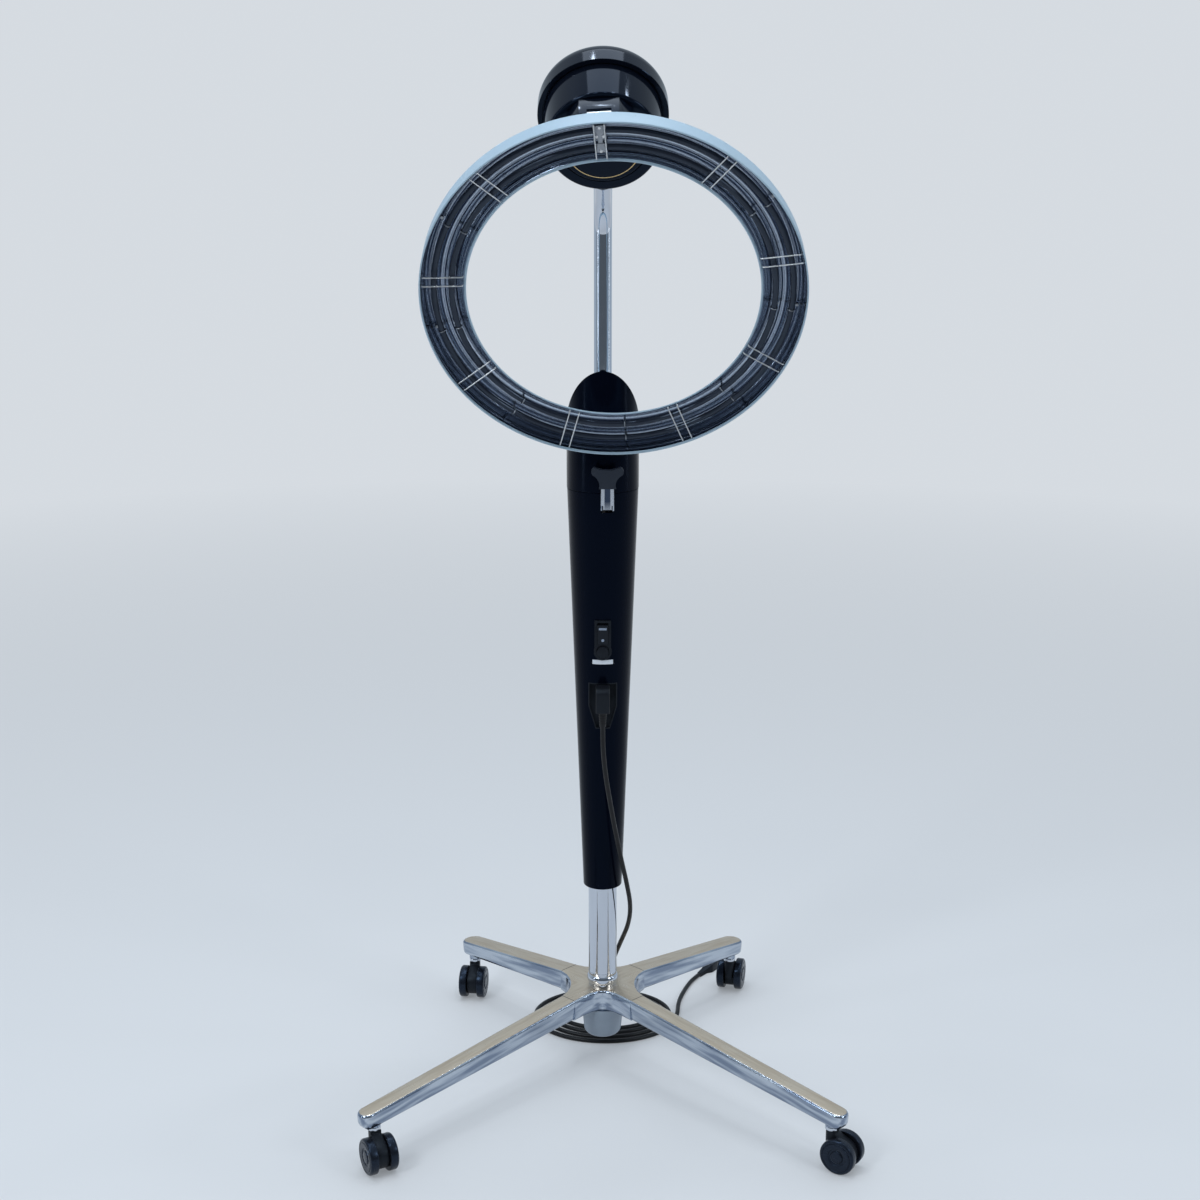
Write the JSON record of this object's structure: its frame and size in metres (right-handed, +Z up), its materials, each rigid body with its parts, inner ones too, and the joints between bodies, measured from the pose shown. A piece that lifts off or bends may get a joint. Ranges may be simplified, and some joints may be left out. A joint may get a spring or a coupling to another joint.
{
  "type": "ring hair heater",
  "caption": "Salon hair heater: orbiting ring of heater tubes on a tilting hinge, round motor head, bent chrome pole, tapered lift column with switch and cord, cross base on casters",
  "frame": {"origin": "On the floor under the column's axis, midway between the caster rows' left and right sides", "axes": "+Z up, the front of the machine and the heater ring's open side towards -Y, +X to the right seen from the front"},
  "size_m": [0.6984, 0.695, 1.4951],
  "materials": {
    "cast_aluminium": "polished casting",
    "chrome": "mirror chrome",
    "steel": "satin steel",
    "black_gloss": "glossy black moulding",
    "black_matte": "fine-grained black moulding",
    "grey_plastic": "light grey moulding",
    "shell_white": "pale blue-white shell",
    "mirror_pan": "polished reflector sheet",
    "heater_glass": "dark quartz tube",
    "board": "laminated circuit board",
    "cord_jacket": "soft black cord jacket",
    "caster_tread": "black nylon wheel",
    "plug_black": "black moulded plug"
  },
  "bodies": {
    "base": {"base_hub": "cast_aluminium", "hub_cup": "grey_plastic", "front_left_leg": "cast_aluminium", "front_right_leg": "cast_aluminium", "rear_left_leg": "cast_aluminium", "rear_right_leg": "cast_aluminium", "caster_stems": "chrome", "lower_tube": "chrome", "gas_rod": "steel", "power_cord": "cord_jacket", "cord_coil": "cord_jacket", "mains_plug": "plug_black"},
    "column": {"guide_bush": "black_matte", "gas_cylinder": "steel", "column_cover": "black_gloss", "column_cap": "black_gloss", "inner_tube": "steel", "pole_clamp": "cast_aluminium", "lever_pin": "steel", "switch_bezel": "black_matte", "switch_body": "black_matte", "inlet_socket": "black_matte", "cord_connector": "plug_black", "strain_relief": "cord_jacket", "upper_pole": "chrome", "pole_collar": "chrome", "control_panel": "black_gloss", "circuit_board": "board", "dome_shell": "black_gloss", "drum_shell": "black_gloss", "gear_motor": "steel", "shaft_bearing": "steel", "slip_ring": "black_matte"},
    "lever": {"lever_channel": "steel", "lever_handle": "black_matte"},
    "rocker": {"rocker_switch": "black_matte"},
    "reset": {"reset_button": "black_matte"},
    "arm": {"rotor_disc": "black_gloss", "drive_shaft": "steel", "arm_box": "black_gloss"},
    "ring": {"ring_bracket": "steel", "hinge_pin": "steel", "ring_shell": "shell_white", "reflector": "mirror_pan", "heater_tubes": "heater_glass", "tube_clips": "steel", "guard_wires": "steel", "terminal_clip": "steel"},
    "caster_fl": {"caster_body_fl": "black_matte", "caster_axle_fl": "steel"},
    "wheels_fl": {"caster_wheels_fl": "caster_tread"},
    "caster_fr": {"caster_body_fr": "black_matte", "caster_axle_fr": "steel"},
    "wheels_fr": {"caster_wheels_fr": "caster_tread"},
    "caster_rl": {"caster_body_rl": "black_matte", "caster_axle_rl": "steel"},
    "wheels_rl": {"caster_wheels_rl": "caster_tread"},
    "caster_rr": {"caster_body_rr": "black_matte", "caster_axle_rr": "steel"},
    "wheels_rr": {"caster_wheels_rr": "caster_tread"}
  },
  "joints": [
    {"name": "column_lift", "type": "slide", "parent": "base", "child": "column", "axis": [0, 0, 1], "range_m": [-0.09, 0.12], "deforming": ["power_cord"]},
    {"name": "lever_press", "type": "hinge", "parent": "column", "child": "lever", "pos_m": [0.0065, -0.037, 0.878], "axis": [1, 0, 0], "range_deg": [-8, 0], "stiffness_Nm_per_rad": 4, "springref_deg": 5.73},
    {"name": "rocker_flip", "type": "hinge", "parent": "column", "child": "rocker", "pos_m": [0, -0.04021, 0.68715], "axis": [1, 0, 0], "range_deg": [-14, 0]},
    {"name": "reset_press", "type": "slide", "parent": "column", "child": "reset", "axis": [0, 0.9993, 0.0376], "range_m": [0, 0.002], "stiffness_N_per_m": 400, "springref_m": -0.001},
    {"name": "ring_orbit", "type": "hinge", "parent": "column", "child": "arm", "pos_m": [0, -0.235, 1.3764], "axis": [0, -0.8192, -0.5736], "continuous": true},
    {"name": "ring_open", "type": "hinge", "parent": "arm", "child": "ring", "pos_m": [-0.00483, -0.29508, 1.40922], "axis": [-0.9969, 0.045, -0.0643], "range_deg": [0, 45]},
    {"name": "swivel_fl", "type": "hinge", "parent": "base", "child": "caster_fl", "pos_m": [-0.316, -0.326, 0.05], "axis": [0, 0, 1], "continuous": true},
    {"name": "roll_fl", "type": "hinge", "parent": "caster_fl", "child": "wheels_fl", "pos_m": [-0.30816, -0.34075, 0.0255], "axis": [0.8829, 0.4695, 0], "continuous": true},
    {"name": "swivel_fr", "type": "hinge", "parent": "base", "child": "caster_fr", "pos_m": [0.316, -0.326, 0.05], "axis": [0, 0, 1], "continuous": true},
    {"name": "roll_fr", "type": "hinge", "parent": "caster_fr", "child": "wheels_fr", "pos_m": [0.33016, -0.33485, 0.0255], "axis": [0.5299, 0.848, 0], "continuous": true},
    {"name": "swivel_rl", "type": "hinge", "parent": "base", "child": "caster_rl", "pos_m": [-0.211, 0.214, 0.05], "axis": [0, 0, 1], "continuous": true},
    {"name": "roll_rl", "type": "hinge", "parent": "caster_rl", "child": "wheels_rl", "pos_m": [-0.21332, 0.19746, 0.0255], "axis": [0.9903, -0.1392, 0], "continuous": true},
    {"name": "swivel_rr", "type": "hinge", "parent": "base", "child": "caster_rr", "pos_m": [0.211, 0.214, 0.05], "axis": [0, 0, 1], "continuous": true},
    {"name": "roll_rr", "type": "hinge", "parent": "caster_rr", "child": "wheels_rr", "pos_m": [0.21532, 0.23013, 0.0255], "axis": [-0.9659, 0.2588, 0], "continuous": true}
  ]
}
